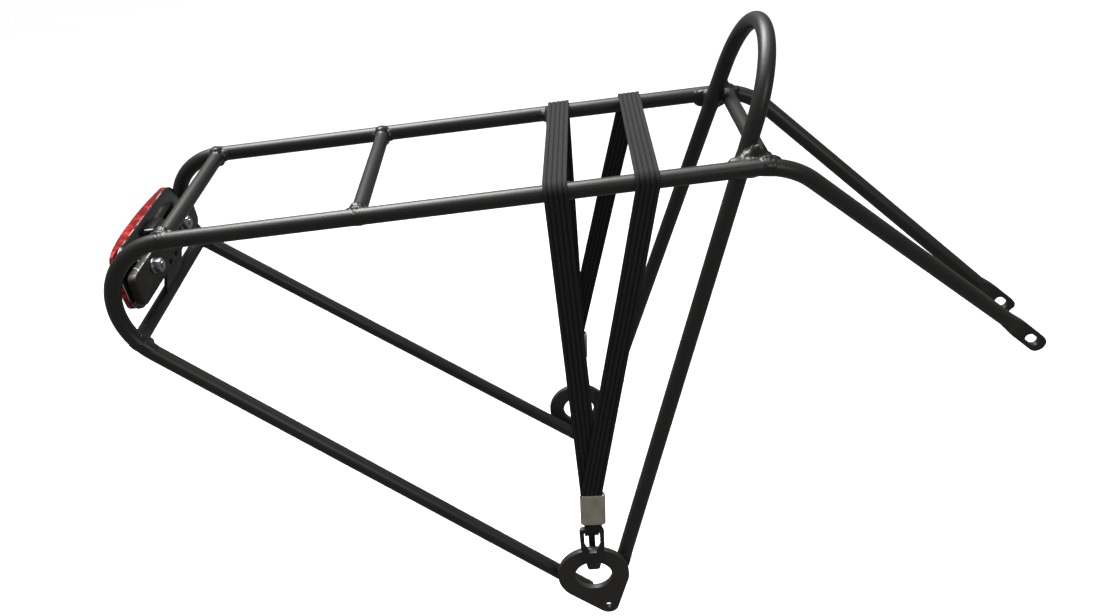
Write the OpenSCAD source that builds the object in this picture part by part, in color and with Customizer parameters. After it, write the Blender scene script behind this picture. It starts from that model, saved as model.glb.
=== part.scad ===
// Bicycle rear rack: a welded tube frame with a reflector and an elastic strap.
// X points forward, Y to the rider's left, Z up. The origin is midway between the two dropout holes.
// A module's side is -1 for the right half and 1 for the left half.

/* [Frame tubes] */
// Outside diameter of the side tubes and the hoop
tube_d = 10; // [9.4:0.2:11]
// Outside diameter of the cross tubes
cross_d = 9.2; // [8.4:0.2:9.4]
// Wall thickness of every frame tube
tube_wall = 1.5; // [1:0.1:2]

/* [Platform] */
// Height of the side rails' centres above the dropout holes
platform_h = 308; // [300:1:320]
// Half the distance between the side rails at the rear cross tube
rail_half = 64; // [62:0.5:66]
// How much nearer the middle each side rail is at its front bend
rail_toe_in = 2.5; // [0:0.5:4]
// Distance from the dropout holes back to the rear cross tube
rear_cross_back = 233; // [230:1:236]
// Spacing of the four cross tubes of the platform
cross_pitch = 116; // [114:1:117]

/* [Side tubes] */
// Distance from the dropout holes back to the corner where the rail and stay lines meet
rear_corner_back = 338; // [334:1:342]
// Radius of the rear bend, to the tube's centre
rear_bend_r = 41.3; // [34:0.1:44]
// Distance from the dropout holes forward to the corner where rail and front arm lines meet
front_corner_x = 127.5; // [124:0.5:132]
// Radius of the front bend, to the tube's centre
front_bend_r = 48; // [30:1:52]
// Distance forward, and height, of the slots in the front tabs
tab_x = 299; // [290:1:310]
tab_z = 142; // [136:1:148]
// Half the distance between the middles of the two front tabs
tab_half = 23.6; // [22:0.2:26]
// Width and thickness of the flattened tabs
tab_w = 12; // [11:0.2:14]
tab_t = 4.2; // [3.6:0.2:5]
// Width and length of the slots in the tabs
slot_w = 6.2; // [5.5:0.1:7]
slot_len = 11.2; // [10:0.5:14]

/* [Lower ends] */
// Distance of each ring plate's inner face from the middle
plate_inner = 90; // [88:0.5:94]
// Thickness of the ring plates
plate_t = 4; // [3:0.5:5]
// Place of the ring's centre, back from and above the dropout hole
ring_back = 8; // [6:0.5:10]
ring_z = 31.5; // [30:0.5:34]
// Outside diameter of the ring
ring_d = 49; // [46:1:52]
// Diameter of the hole in the ring
ring_hole_d = 25.5; // [24:0.5:27]
// Radius of the corner around the dropout hole
corner_r = 7; // [6:0.5:8]
// Diameter of the dropout hole, for an M5 bolt
dropout_hole_d = 5.5; // [5.3:0.1:6]

/* [Hoop] */
// Place of the hoop's legs where they pass between the rails
hoop_x = 104.5; // [102:0.5:106]
hoop_half = 50; // [49:0.5:51]
// Lean of the hoop towards the front, from the vertical
hoop_lean = 18.5; // [17:0.5:20]
// Radius of the hoop's arch, to the tube's centre
hoop_r = 47.5; // [45:0.5:49]

/* [Reflector and bracket] */
// Width and height of the sheet metal bracket
bracket_w = 116; // [110:1:117]
bracket_h = 21; // [20:1:24]
// Thickness of the bracket's sheet
sheet_t = 2; // [1.5:0.5:2.5]
// Distance of the bracket's front face behind the dropout holes
bracket_back = 260; // [258:0.5:262]
// Height of the bracket's middle above the dropout holes
bracket_z = 272.5; // [270:0.5:275]
// Distance between the two reflector studs, and their height
stud_pitch = 59; // [58:0.5:60]
stud_z = 275.5; // [274:0.5:277]
// Width, height and corner radius of the reflector
reflector_w = 111; // [104:1:114]
reflector_h = 42; // [38:1:46]
reflector_r = 14; // [8:1:18]
// How far the lens stands out at its middle
lens_bulge = 15.5; // [10:0.5:18]

/* [Elastic strap] */
// Width and thickness of the elastic webbing
strap_w = 14.6; // [12:0.1:16]
strap_t = 1.8; // [1.5:0.1:2]
// Places where the rear band crosses the right and left rails
rear_band_x = [-3, 4];
// Places where the front band crosses the right and left rails
front_band_x = [48.5, 51];
// Height where the webbing enters the ferrules
ferrule_top = 107.5; // [105:0.5:110]
// Height, width and thickness of the ferrules
ferrule_h = 24; // [22:0.5:26]
ferrule_w = 16.4; // [15:0.2:17]
ferrule_t = 6.6; // [6:0.2:7.4]

/* [Hidden] */
$fn = 64;

tube_r = tube_d / 2;
bore_r = tube_r - tube_wall;
cross_r = cross_d / 2;
eps = 0.01;
lap = 0.5;
step = 0.02;

// Corners of a side tube's path, in the left half
rear_corner = [-rear_corner_back, rail_y(-rear_corner_back), platform_h];
front_corner = [front_corner_x, rail_y(front_corner_x), platform_h];
// The stay and the hoop's legs end on the ring plates, trimmed flush with the plates' inner faces
stay_end = [-12.5, plate_inner - tube_r - 0.5, 9];
leg_end = [13.5, plate_inner - tube_r + 0.5, 37];
// The front arm turns into a tab, which runs on in the arm's direction but square to Y
arm_run = [tab_x - front_corner_x, 0, tab_z - platform_h];
tab_dir = arm_run / norm(arm_run);
tab_start = [tab_x, tab_half, tab_z] - 27 * tab_dir;
flat_start = 14;
tab_len = 38;
tab_angle = atan2(-tab_dir.z, tab_dir.x);

// Directions along a leg and along a stay, for the welds at their ends
hoop_up = [tan(hoop_lean), 0, 1];
hoop_peak = [hoop_x, 0, platform_h] + hoop_up * hoop_rise();
lower_cross_at = rear_corner + unit(stay_end - rear_corner) * 95.2;

// The reflector's stack, from the bracket back to the lens
bracket_x = -bracket_back;
boss_len = 6;
back_x = bracket_x - sheet_t - boss_len;
back_t = 1.8;
lens_x = back_x - back_t;
lens_wall = 1.8;
crown_rv = 30;
crown_rh = 135;
crown_up = 3;
washer_t = 1;
nut_t = 5;
nut_w = 8;
stud_r = 2.5;

// The strap's run down each side
wrap_gap = 0.3;
wrap_r = tube_r + wrap_gap;
strap_mid_r = wrap_r + strap_t / 2;
layer = strap_t / 2 + 0.15;
ferrule_y = 94.4;
ferrule_x = -3;
ferrule_lean = 4;
split_z = 190;
split_gap = 0.2;
// The front band steps out over the rear band at this height
step_z = 268;

// The hook's heights, from its foot in the ring to the top of its bar
hook_x = -5.6;
hook_y = plate_inner + plate_t + 0.8;
hook_t = 3.4;
foot_top = ring_z + ring_hole_d / 2 - 0.65;
foot_t = 3.7;
bar_z = 76;
bar_top = 79.5;
tongue_t = 3.2;
tongue_y = plate_inner - 1.2 - tongue_t;
tongue_top = 65.5;
window_w = 10.4;

frame_colour = [0.13, 0.13, 0.14];
strap_colour = [0.09, 0.09, 0.10];

function unit(v) = v / norm(v);
function mirrored(p, side) = [p.x, side * p.y, p.z];
// Distance of a side rail from the middle at x
function rail_y(x) = rail_half - rail_toe_in * (x + rear_cross_back) / (front_corner_x + rear_cross_back);
// Sideways lean of a leg for each millimetre of height
function leg_slope() = (leg_end.y - hoop_half) / (platform_h - leg_end.z);
// Height above the platform at which the two legs' lines would meet
function hoop_rise() = hoop_half / leg_slope();
// Angle from the vertical at which the strap leaves a rail towards the ferrule
function strap_angle(rail, y) =
    let(dy = y - rail, dz = platform_h - ferrule_top)
    atan2(dy, dz) - asin(strap_mid_r / norm([dy, dz]));
// Distance from the middle of the strap's centre line at height z
function strap_y(rail, angle, z) =
    rail + strap_mid_r * cos(angle) + (platform_h + strap_mid_r * sin(angle) - z) * tan(angle);

// A straight rod from p to q
module rod(p, q, r) {
    v = q - p;
    translate(p)
        rotate([0, acos(v.z / norm(v)), atan2(v.y, v.x)])
            cylinder(h = norm(v), r = r);
}

// The arc of a rod where the lines from a to b and from b to c meet
module bend(a, b, c, bend_r, r) {
    u = unit(a - b);
    w = unit(c - b);
    half = acos(u * w) / 2;
    centre = b + unit(u + w) * bend_r / sin(half);
    ex = unit(b + u * bend_r / tan(half) - centre);
    ez = unit(cross(ex, w - u));
    ey = cross(ez, ex);
    multmatrix([[ex.x, ey.x, ez.x, centre.x], [ex.y, ey.y, ez.y, centre.y], [ex.z, ey.z, ez.z, centre.z]])
        rotate_extrude(angle = 180 - 2 * half)
            translate([bend_r, 0])
                circle(r);
}

// Where a bend at b, between lines towards a and towards c, touches the line towards a.
// The straight runs on a little into the bend, and is a hair thinner, so that the two join.
function tangent(a, b, c, bend_r) =
    b + unit(a - b) * (bend_r / tan(acos(unit(a - b) * unit(c - b)) / 2) - lap);

// A side tube's path as a solid rod: front arm, front bend, rail, rear bend and stay
module side_path(side, r) {
    start = mirrored(tab_start, side);
    front = mirrored(front_corner, side);
    rear = mirrored(rear_corner, side);
    end = mirrored(stay_end, side);
    rod(start, tangent(start, front, rear, front_bend_r), r - step);
    bend(start, front, rear, front_bend_r, r);
    rod(tangent(rear, front, start, front_bend_r), tangent(front, rear, end, rear_bend_r), r - step);
    bend(front, rear, end, rear_bend_r, r);
    rod(tangent(end, rear, front, rear_bend_r), end, r - step);
}

// The flattened end of a front arm, with its slot
module front_tab(side) {
    translate(mirrored(tab_start, side))
        rotate([0, tab_angle, 0])
            difference() {
                union() {
                    hull() {
                        translate([-1, 0, 0]) rotate([0, 90, 0]) cylinder(h = 1, r = tube_r - 0.1, $fn = 32);
                        translate([flat_start, -tab_t / 2, -tab_w / 2]) cube([1, tab_t, tab_w]);
                    }
                    translate([flat_start + 0.5, -tab_t / 2, -tab_w / 2])
                        cube([tab_len - flat_start - 0.5 - tab_w / 2, tab_t, tab_w]);
                    translate([tab_len - tab_w / 2, tab_t / 2, 0])
                        rotate([90, 0, 0])
                            cylinder(h = tab_t, r = tab_w / 2);
                }
                for (end = [-1, 1])
                    translate([27 + end * (slot_len - slot_w) / 2, tab_t, 0])
                        rotate([90, 0, 0])
                            cylinder(h = 2 * tab_t, r = slot_w / 2);
                translate([27 - (slot_len - slot_w) / 2, -tab_t, -slot_w / 2])
                    cube([slot_len - slot_w, 2 * tab_t, slot_w]);
            }
}

// Everything beyond a ring plate's inner face
module beyond_plate(side) {
    translate([-60, side > 0 ? plate_inner : -plate_inner - 20, -20])
        cube([120, 20, 100]);
}

module side_tube(side) {
    color(frame_colour) {
        difference() {
            side_path(side, tube_r);
            side_path(side, bore_r);
            beyond_plate(side);
        }
        front_tab(side);
    }
}

module hoop_path(r) {
    right = mirrored(leg_end, -1);
    rod(right, tangent(right, hoop_peak, leg_end, hoop_r), r - step);
    bend(right, hoop_peak, leg_end, hoop_r, r);
    rod(tangent(leg_end, hoop_peak, right, hoop_r), leg_end, r - step);
}

module hoop_tube() {
    color(frame_colour)
        difference() {
            hoop_path(tube_r);
            hoop_path(bore_r);
            beyond_plate(-1);
            beyond_plate(1);
        }
}

// A straight tube from rail to rail, coped to fit against both side tubes
module cross_tube(x, z, half) {
    color(frame_colour)
        difference() {
            rod([x, -half, z], [x, half, z], cross_r);
            rod([x, -half - 1, z], [x, half + 1, z], cross_r - tube_wall);
            for (side = [-1, 1]) side_path(side, tube_r);
        }
}

module platform_cross(index) {
    x = index * cross_pitch - rear_cross_back;
    cross_tube(x, platform_h, rail_y(x));
}

module lower_cross_tube() {
    cross_tube(lower_cross_at.x, lower_cross_at.z, lower_cross_at.y);
}

// A ring with a corner that carries the dropout hole
module ring_plate(side) {
    start = side > 0 ? plate_inner : -plate_inner - plate_t;
    color(frame_colour)
        translate([0, start + plate_t, 0])
            rotate([90, 0, 0])
                difference() {
                    linear_extrude(plate_t)
                        hull() {
                            translate([-ring_back, ring_z]) circle(ring_d / 2, $fn = 128);
                            circle(corner_r, $fn = 64);
                        }
                    translate([-ring_back, ring_z, -1]) cylinder(h = plate_t + 2, r = ring_hole_d / 2);
                    translate([0, 0, -1]) cylinder(h = plate_t + 2, r = dropout_hole_d / 2);
                }
}

// A slab with rounded corners in the Y-Z plane, its front face at x and its thickness going back
module slab(x, z, w, h, r, t) {
    translate([x - t, 0, z]) {
        translate([0, -w / 2 + r, -h / 2]) cube([t, w - 2 * r, h]);
        translate([0, -w / 2, -h / 2 + r]) cube([t, w, h - 2 * r]);
        for (y = [-1, 1], up = [-1, 1])
            translate([0, y * (w / 2 - r), up * (h / 2 - r)])
                rotate([0, 90, 0])
                    cylinder(h = t, r = r);
    }
}

// A shallow pressed tray with a folded rim, and a tab down to the lower cross tube
module reflector_bracket() {
    rim = 5;
    tab = 32;
    bottom = bracket_z - bracket_h / 2;
    foot = [lower_cross_at.x + 2, lower_cross_at.z + sqrt(cross_r * cross_r - 4) + 0.1];
    color(frame_colour)
        difference() {
            union() {
                slab(bracket_x, bracket_z, bracket_w, bracket_h, 5, rim);
                translate([0, tab / 2, 0])
                    rotate([90, 0, 0])
                        linear_extrude(tab)
                            polygon([
                                [bracket_x, bottom + 6],
                                [bracket_x - sheet_t, bottom + 6],
                                [bracket_x - sheet_t, bottom],
                                [foot.x - 1, foot.y + 0.5],
                                [foot.x + 1.2, foot.y - 0.4],
                                [bracket_x, bottom]
                            ]);
            }
            slab(bracket_x - sheet_t, bracket_z, bracket_w - 2 * sheet_t, bracket_h - 2 * sheet_t, 3, rim);
            translate([bracket_x - rim - 1, -tab / 2, bottom - 1])
                cube([rim - sheet_t + 1, tab, sheet_t + 2]);
            translate([bracket_x - rim - 1, -10.6, bottom + 4])
                cube([rim - sheet_t + 1, 21.2, bracket_h]);
            rod([lower_cross_at.x, -tab, lower_cross_at.z], [lower_cross_at.x, tab, lower_cross_at.z], cross_r);
            for (side = [-1, 1]) {
                translate([bracket_x - rim, side * stud_pitch / 2, stud_z])
                    rotate([0, 90, 0])
                        cylinder(h = 2 * rim, r = stud_r + 0.25);
                translate([bracket_x - rim, side * 5.5, bottom + 2.5])
                    rotate([0, 90, 0])
                        cylinder(h = 2 * rim, r = 2);
            }
        }
}

// A bead of weld where a cross tube meets a side tube at p, none of it above height top
module joint_weld(p, along, side, top) {
    difference() {
        intersection() {
            rod(p - [0, side * 12, 0], p + [0, side * 1.5, 0], cross_r + 2.6);
            rod(p - along * 12, p + along * 12, tube_r + 2);
        }
        translate([p.x - 20, p.y - 20, top])
            cube([40, 40, 20]);
    }
}

module weld_beads() {
    color(frame_colour)
        for (side = [-1, 1])
            difference() {
                union() {
                    for (i = [0:3])
                        joint_weld([i * cross_pitch - rear_cross_back,
                            side * rail_y(i * cross_pitch - rear_cross_back), platform_h],
                            [1, 0, 0], side, platform_h + tube_r);
                    joint_weld(mirrored(lower_cross_at, side), mirrored(unit(stay_end - rear_corner), side),
                        side, platform_h);
                    translate([hoop_x - 3, side * (hoop_half + tube_r + 0.6), platform_h])
                        sphere(r = 6.5);
                }
                side_path(side, tube_r);
                hoop_path(tube_r);
                for (i = [0:3])
                    rod([i * cross_pitch - rear_cross_back, -rail_half, platform_h],
                        [i * cross_pitch - rear_cross_back, rail_half, platform_h], cross_r);
                rod(mirrored(lower_cross_at, -1), lower_cross_at, cross_r);
            }
}

// The reflector's moulded back: a shallow shell with a centre boss and two stud bosses
module reflector_back() {
    color([0.03, 0.03, 0.03])
        difference() {
            union() {
                slab(back_x, stud_z, reflector_w, reflector_h, reflector_r, back_t);
                slab(back_x + boss_len, stud_z + 2.5, 20, 26, 2, boss_len);
                for (side = [-1, 1])
                    translate([back_x, side * stud_pitch / 2, stud_z])
                        rotate([0, 90, 0])
                            cylinder(h = boss_len, r = 5.4);
            }
            for (side = [-1, 1])
                translate([back_x - back_t - 1, side * stud_pitch / 2, stud_z])
                    rotate([0, 90, 0])
                        cylinder(h = boss_len + back_t + 2, r = stud_r);
        }
}

// The lens's outer form: the reflector's outline, crowned both ways by two large drums
module lens_form(inset) {
    crown_x = lens_x - lens_bulge + inset;
    intersection() {
        slab(lens_x + (inset > 0 ? eps : 0), stud_z, reflector_w - 2 * inset, reflector_h - 2 * inset,
            reflector_r - inset, lens_bulge + 2);
        translate([crown_x + crown_rv, 0, stud_z + crown_up])
            rotate([90, 0, 0])
                cylinder(h = reflector_w + 10, r = crown_rv - inset, center = true, $fn = 128);
        translate([crown_x + crown_rh, 0, stud_z])
            cylinder(h = reflector_h + 10, r = crown_rh - inset, center = true, $fn = 256);
    }
}

// The hollow crowned lens
module reflector_lens() {
    color([0.75, 0.05, 0.06])
        difference() {
            lens_form(0);
            lens_form(lens_wall);
        }
}

module along_x(x, side, len, r, sides = 48) {
    translate([x, side * stud_pitch / 2, stud_z])
        rotate([0, 90, 0])
            cylinder(h = len, r = r, $fn = sides);
}

// Studs moulded into the reflector's back, each with a head inside the lens
module reflector_studs() {
    color([0.75, 0.75, 0.72])
        for (side = [-1, 1]) {
            along_x(lens_x - 3, side, 3, 4);
            along_x(lens_x, side, bracket_x + washer_t + nut_t + 1 - lens_x, stud_r);
        }
}

module reflector_washers() {
    color([0.8, 0.8, 0.78])
        for (side = [-1, 1])
            difference() {
                along_x(bracket_x, side, washer_t, 5);
                along_x(bracket_x - 1, side, washer_t + 2, stud_r + 0.2);
            }
}

module reflector_nuts() {
    color([0.8, 0.8, 0.78])
        for (side = [-1, 1])
            difference() {
                along_x(bracket_x + washer_t, side, nut_t, nut_w / sqrt(3), 6);
                along_x(bracket_x, side, nut_t + 2, stud_r);
            }
}

// A quarter turn of webbing over a rail, from the top down to where the strap leaves it
module wrap(x, rail, angle, side) {
    mirror([0, side > 0 ? 0 : 1, 0])
        translate([x - strap_w / 2, rail, platform_h])
            rotate([90, 0, 90])
                mirror([1, -1, 0])
                    rotate_extrude(angle = 90 - angle)
                        translate([wrap_r, 0])
                            square([strap_t, strap_w]);
}

// One band across the platform and over both rails
module band_top(cross_x) {
    y = [for (x = cross_x) rail_y(x)];
    half = strap_w / 2;
    color(strap_colour) {
        translate([0, 0, platform_h + wrap_r])
            linear_extrude(strap_t)
                polygon([
                    [cross_x[0] - half, -y[0]], [cross_x[0] + half, -y[0]],
                    [cross_x[1] + half, y[1]], [cross_x[1] - half, y[1]]
                ]);
        wrap(cross_x[0], y[0], strap_angle(y[0], ferrule_y), -1);
        wrap(cross_x[1], y[1], strap_angle(y[1], ferrule_y), 1);
    }
}

// A thin cross-section of webbing, square to its run, for a strip to be hulled between
module strap_section(x, y, z, angle) {
    translate([x, y, z])
        rotate([angle, 0, 0])
            cube([strap_w, strap_t, eps], center = true);
}

// Place along a band's run at height z: out over its own rail and in towards the ferrule
function run_x(x, z) = x + (ferrule_x - x) * (platform_h - z) / (platform_h - ferrule_top);

// A strip of one band from height top to height bottom, shifted outward by its layer in the stack
module strap_strip(x, side, top, bottom, shift_top, shift_bottom) {
    rail = rail_y(x);
    angle = strap_angle(rail, ferrule_y);
    color(strap_colour)
        mirror([0, side > 0 ? 0 : 1, 0])
            hull() {
                strap_section(run_x(x, top), strap_y(rail, angle, top) + shift_top, top, angle);
                strap_section(run_x(x, bottom), strap_y(rail, angle, bottom) + shift_bottom, bottom, angle);
            }
}

// The height at which a band leaves its rail
function leave_z(x) = platform_h + strap_mid_r * sin(strap_angle(rail_y(x), ferrule_y)) - 0.1;

module rear_band(side) {
    x = rear_band_x[(side + 1) / 2];
    strap_strip(x, side, leave_z(x), split_z + split_gap, 0, -layer);
}

module front_band(side) {
    x = front_band_x[(side + 1) / 2];
    strap_strip(x, side, leave_z(x), step_z, 0, layer + 0.6);
    strap_strip(x, side, step_z, split_z + split_gap, layer + 0.6, layer);
}

// Both bands from the split down into the ferrule, one on top of the other
module strap_end(side) {
    i = (side + 1) / 2;
    strap_strip(rear_band_x[i], side, split_z - split_gap, ferrule_top + 0.4, -layer, -layer);
    strap_strip(front_band_x[i], side, split_z - split_gap, ferrule_top + 0.4, layer, layer);
}

// Turns a shape about the middle of a ferrule to follow the strap
module at_ferrule(side) {
    mirror([0, side > 0 ? 0 : 1, 0])
        translate([ferrule_x, ferrule_y, ferrule_top - ferrule_h / 2])
            rotate([strap_angle(rail_y(0), ferrule_y) / 2, ferrule_lean, 0])
                children();
}

// A flat band of steel crimped round both layers of webbing
module ferrule(side) {
    wall = 0.8;
    color([0.72, 0.70, 0.66])
        at_ferrule(side)
            translate([0, 0, -ferrule_h / 2])
                linear_extrude(ferrule_h)
                    difference() {
                        square([ferrule_w, ferrule_t], center = true);
                        square([ferrule_w - 2 * wall, ferrule_t - 2 * wall], center = true);
                    }
}

// The webbing inside the ferrule, and its loop round the hook's bar
module strap_loop(side) {
    inner = hook_t + 0.4;
    outer = inner + 2 * strap_t;
    width = 9.6;
    low = bar_z - 0.2 - strap_t;
    neck_z = 83;
    color(strap_colour) {
        mirror([0, side > 0 ? 0 : 1, 0])
            translate([hook_x, hook_y + hook_t / 2, 0])
                difference() {
                    hull() {
                        translate([-width / 2, -outer / 2, low]) cube([width, outer, neck_z - low - 2]);
                        translate([-width / 2 + 1, -strap_t - 1.6, neck_z]) cube([width, 2 * strap_t, 2]);
                    }
                    translate([-width, -inner / 2, bar_z - 0.2])
                        cube([2 * width, inner, bar_top - bar_z + 0.4]);
                }
        at_ferrule(side)
            translate([-strap_w / 2 + 0.2, -strap_t - 0.4, -ferrule_h / 2 + 1])
                cube([strap_w - 0.4, 2 * strap_t + 0.8, ferrule_h - 1.4]);
    }
}

// The moulded hook: a bar for the webbing, two arms round a window, and a foot through the ring
module hook(side) {
    shank = hook_y + hook_t;
    foot_low = foot_top - foot_t;
    color([0.10, 0.10, 0.10])
        mirror([0, side > 0 ? 0 : 1, 0])
            translate([hook_x, 0, bar_z])
                rotate([0, 2.5, 0])
                    translate([0, 0, -bar_z]) {
                        intersection() {
                            translate([0, shank, 0])
                                rotate([90, 0, 0])
                                    linear_extrude(hook_t)
                                        difference() {
                                            polygon([
                                                [-7, bar_top], [-8.2, bar_top - 3], [-7.9, 62], [-6, 52],
                                                [-4.3, foot_top], [-2.8, foot_low],
                                                [2.8, foot_low], [4.3, foot_top],
                                                [6, 52], [7.9, 62], [8.2, bar_top - 3], [7, bar_top]
                                            ]);
                                            polygon([
                                                [-window_w / 2, bar_z], [-window_w / 2, 64], [-2.4, 57.5],
                                                [2.4, 57.5], [window_w / 2, 64], [window_w / 2, bar_z]
                                            ]);
                                        }
                            translate([-12, 0, 0])
                                rotate([90, 0, 90])
                                    linear_extrude(24)
                                        polygon([
                                            [hook_y, foot_low], [shank - 2.6, foot_low],
                                            [shank - 0.9, foot_low + 1.2], [shank, foot_low + 3.2],
                                            [shank, bar_top], [hook_y, bar_top]
                                        ]);
                        }
                        translate([-2.8, tongue_y, foot_low])
                            cube([5.6, hook_y + 0.5 - tongue_y, foot_t]);
                        translate([-2.2, tongue_y, foot_low])
                            cube([4.4, tongue_t, tongue_top - foot_low]);
                    }
}

side_tube(-1);  // right_side_tube
side_tube(1);  // left_side_tube
hoop_tube();
platform_cross(0);  // rear_cross_tube
platform_cross(1);  // rear_middle_cross_tube
platform_cross(2);  // front_middle_cross_tube
platform_cross(3);  // front_cross_tube
lower_cross_tube();
ring_plate(-1);  // right_ring_plate
ring_plate(1);  // left_ring_plate
reflector_bracket();
weld_beads();
reflector_back();
reflector_lens();
reflector_studs();
reflector_washers();
reflector_nuts();
band_top(rear_band_x);  // rear_band_top
rear_band(-1);  // rear_band_right
rear_band(1);  // rear_band_left
band_top(front_band_x);  // front_band_top
front_band(-1);  // front_band_right
front_band(1);  // front_band_left
strap_end(-1);  // right_strap_end
strap_end(1);  // left_strap_end
strap_loop(-1);  // right_strap_loop
strap_loop(1);  // left_strap_loop
ferrule(-1);  // right_ferrule
ferrule(1);  // left_ferrule
hook(-1);  // right_hook
hook(1);  // left_hook
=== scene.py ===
import math

import bpy
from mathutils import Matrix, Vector, noise


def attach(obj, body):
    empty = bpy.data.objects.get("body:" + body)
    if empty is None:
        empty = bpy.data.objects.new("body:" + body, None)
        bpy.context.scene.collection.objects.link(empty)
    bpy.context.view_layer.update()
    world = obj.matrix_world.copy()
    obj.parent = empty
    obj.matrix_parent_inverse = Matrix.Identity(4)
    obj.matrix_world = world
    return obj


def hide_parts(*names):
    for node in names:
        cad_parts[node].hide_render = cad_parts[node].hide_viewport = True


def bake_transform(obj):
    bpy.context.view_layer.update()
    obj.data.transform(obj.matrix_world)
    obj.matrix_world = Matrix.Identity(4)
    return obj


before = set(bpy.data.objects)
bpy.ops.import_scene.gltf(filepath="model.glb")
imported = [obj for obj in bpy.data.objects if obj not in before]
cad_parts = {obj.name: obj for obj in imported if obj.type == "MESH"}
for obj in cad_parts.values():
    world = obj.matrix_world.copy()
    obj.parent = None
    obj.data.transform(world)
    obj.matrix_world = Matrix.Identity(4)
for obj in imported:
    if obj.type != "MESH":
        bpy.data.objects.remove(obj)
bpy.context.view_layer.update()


# ---- Side tubes --------------------------------------------------------------------------------
# Each side of the rack is one bent steel tube, 10 mm across: front arm, rail, rear bend and stay.
# Its front end is pressed flat into a tab with a slot for the seat stay bolt.
# The whole frame is powder coated in satin black, with the fine orange peel such a coat has.

MM = 0.001
SIDES = ((-1, "right"), (1, "left"))
TUBE = 5.0 * MM
PLATFORM = 308 * MM
RAIL_HALF_GAP, RAIL_TAPER, TAPER_REAR, TAPER_RUN = 64 * MM, 2.5 * MM, 233 * MM, 360.5 * MM
STAY_BEND, ARM_BEND = 41.3 * MM, 48 * MM


def rail_y(x):
    """How far a rail lies from the middle: the two close in a little towards the front."""
    return RAIL_HALF_GAP - RAIL_TAPER * (x + TAPER_REAR) / TAPER_RUN


def at(x, y, z):
    return Vector((x, y, z)) * MM


def new_finish(name):
    """A new material and its shader."""
    finish = bpy.data.materials.new(name)
    finish.use_nodes = True
    return finish, finish.node_tree.nodes["Principled BSDF"]


def on_piece(shader):
    """The piece's own coordinates."""
    return shader.id_data.nodes.new("ShaderNodeTexCoord").outputs["Object"]


def mottle(shader, place, scale, detail=2):
    """Noise laid out by place."""
    tree = shader.id_data
    cloud = tree.nodes.new("ShaderNodeTexNoise")
    cloud.inputs["Scale"].default_value = scale
    cloud.inputs["Detail"].default_value = detail
    tree.links.new(place, cloud.inputs["Vector"])
    return cloud.outputs["Fac"]


def tint(shader, amount, *stops):
    """Colours the surface through the stops, each (position, (red, green, blue))."""
    tree = shader.id_data
    ramp = tree.nodes.new("ShaderNodeValToRGB")
    elements = ramp.color_ramp.elements
    for element, (position, colour) in zip(elements, (stops[0], stops[-1])):
        element.position = position
        element.color = (*colour, 1)
    for position, colour in stops[1:-1]:
        elements.new(position).color = (*colour, 1)
    tree.links.new(amount, ramp.inputs["Fac"])
    tree.links.new(ramp.outputs["Color"], shader.inputs["Base Color"])


def vary_gloss(shader, amount, low, high):
    tree = shader.id_data
    gloss = tree.nodes.new("ShaderNodeMapRange")
    gloss.inputs["To Min"].default_value = low
    gloss.inputs["To Max"].default_value = high
    tree.links.new(amount, gloss.inputs["Value"])
    tree.links.new(gloss.outputs["Result"], shader.inputs["Roughness"])


def emboss(shader, height, strength, distance):
    tree = shader.id_data
    bump = tree.nodes.new("ShaderNodeBump")
    bump.inputs["Strength"].default_value = strength
    bump.inputs["Distance"].default_value = distance
    tree.links.new(height, bump.inputs["Height"])
    tree.links.new(bump.outputs["Normal"], shader.inputs["Normal"])


def powder_coat(name, base, rough, peel):
    paint, shader = new_finish(name)
    shader.inputs["Specular IOR Level"].default_value = 0.42
    place = on_piece(shader)
    tint(shader, mottle(shader, place, 28, 4),
         (0.3, [c * 0.86 for c in base]), (0.7, [c * 1.14 for c in base]))
    vary_gloss(shader, mottle(shader, place, 2600, 2), rough - 0.05, rough + 0.07)
    emboss(shader, mottle(shader, place, 900, 3), peel, 0.00012)
    return paint


FRAME_PAINT = powder_coat("satin black powder coat", (0.0150, 0.0150, 0.0132), 0.37, 0.45)


def smooth(piece, angle=35):
    bpy.ops.object.select_all(action="DESELECT")
    piece.select_set(True)
    bpy.context.view_layer.objects.active = piece
    bpy.ops.object.shade_smooth_by_angle(angle=math.radians(angle))


def finish_piece(piece, paint, body, slot, *nodes):
    piece.data.materials.clear()
    piece.data.materials.append(paint)
    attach(piece, body)
    if nodes:
        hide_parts(*nodes)
    return piece


def bent_tube(name, corners, bends, radius, sides=48):
    bpy.ops.object.select_all(action="DESELECT")
    run = corners[1] - corners[0]
    bpy.ops.mesh.primitive_circle_add(
        vertices=sides, radius=radius, location=corners[0],
        rotation=run.to_track_quat("Z", "Y").to_euler())
    piece = bpy.context.object
    piece.name = name
    bpy.ops.object.transform_apply(location=True, rotation=True, scale=True)
    bpy.ops.object.mode_set(mode="EDIT")
    bpy.ops.mesh.select_all(action="SELECT")
    here = corners[0]
    for before, corner, after, bend in zip(corners, corners[1:], corners[2:], bends):
        back = (before - corner).normalized()
        front = (after - corner).normalized()
        half = back.angle(front) / 2
        reach = bend / math.tan(half)
        bpy.ops.mesh.extrude_region_move(
            TRANSFORM_OT_translate={"value": corner + back * reach - here})
        centre = corner + (back + front).normalized() * bend / math.sin(half)
        turn = math.pi - 2 * half
        bpy.ops.mesh.spin(
            steps=max(8, round(math.degrees(turn) / 3.5)), angle=turn, center=centre,
            axis=back.cross(front))
        here = corner + front * reach
    bpy.ops.mesh.extrude_region_move(TRANSFORM_OT_translate={"value": corners[-1] - here})
    bpy.ops.object.mode_set(mode="OBJECT")
    return piece


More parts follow.
